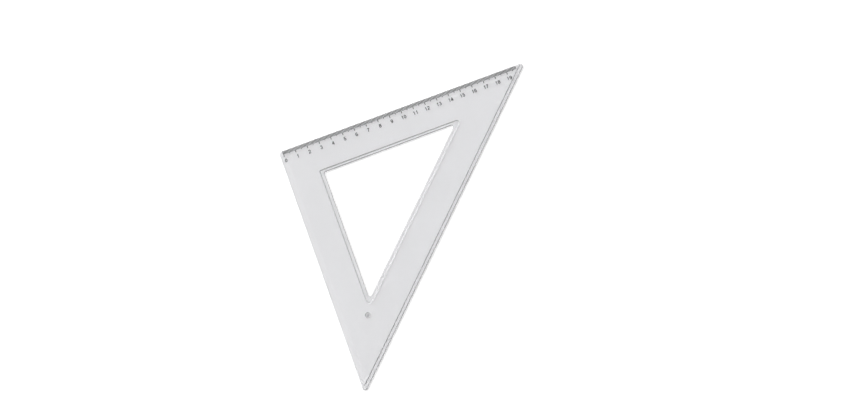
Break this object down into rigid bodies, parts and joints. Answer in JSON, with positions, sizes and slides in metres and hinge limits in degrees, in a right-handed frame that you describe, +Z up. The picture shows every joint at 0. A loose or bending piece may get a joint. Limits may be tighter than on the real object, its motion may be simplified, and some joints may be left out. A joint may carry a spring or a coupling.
{
  "type": "set square",
  "caption": "Clear plastic 45 degree set square with a triangular window, bevelled legs, a thin lip along the hypotenuse and a printed centimetre scale.",
  "frame": {"origin": "middle of the bounding box, on the flat underside", "axes": "+Z up from the underside to the printed face; +X along the scale leg, from the right-angle corner to its tip; the plain leg runs from the right-angle corner along -Y"},
  "size_m": [0.2072, 0.2072, 0.002],
  "materials": {
    "clear_plastic": "clear, slightly grey, glossy moulding",
    "ink": "black printed ink"
  },
  "bodies": {
    "root": {"moulded_plate": "clear_plastic", "millimetre_marks": "ink", "half_centimetre_marks": "ink", "centimetre_marks": "ink"}
  },
  "joints": []
}
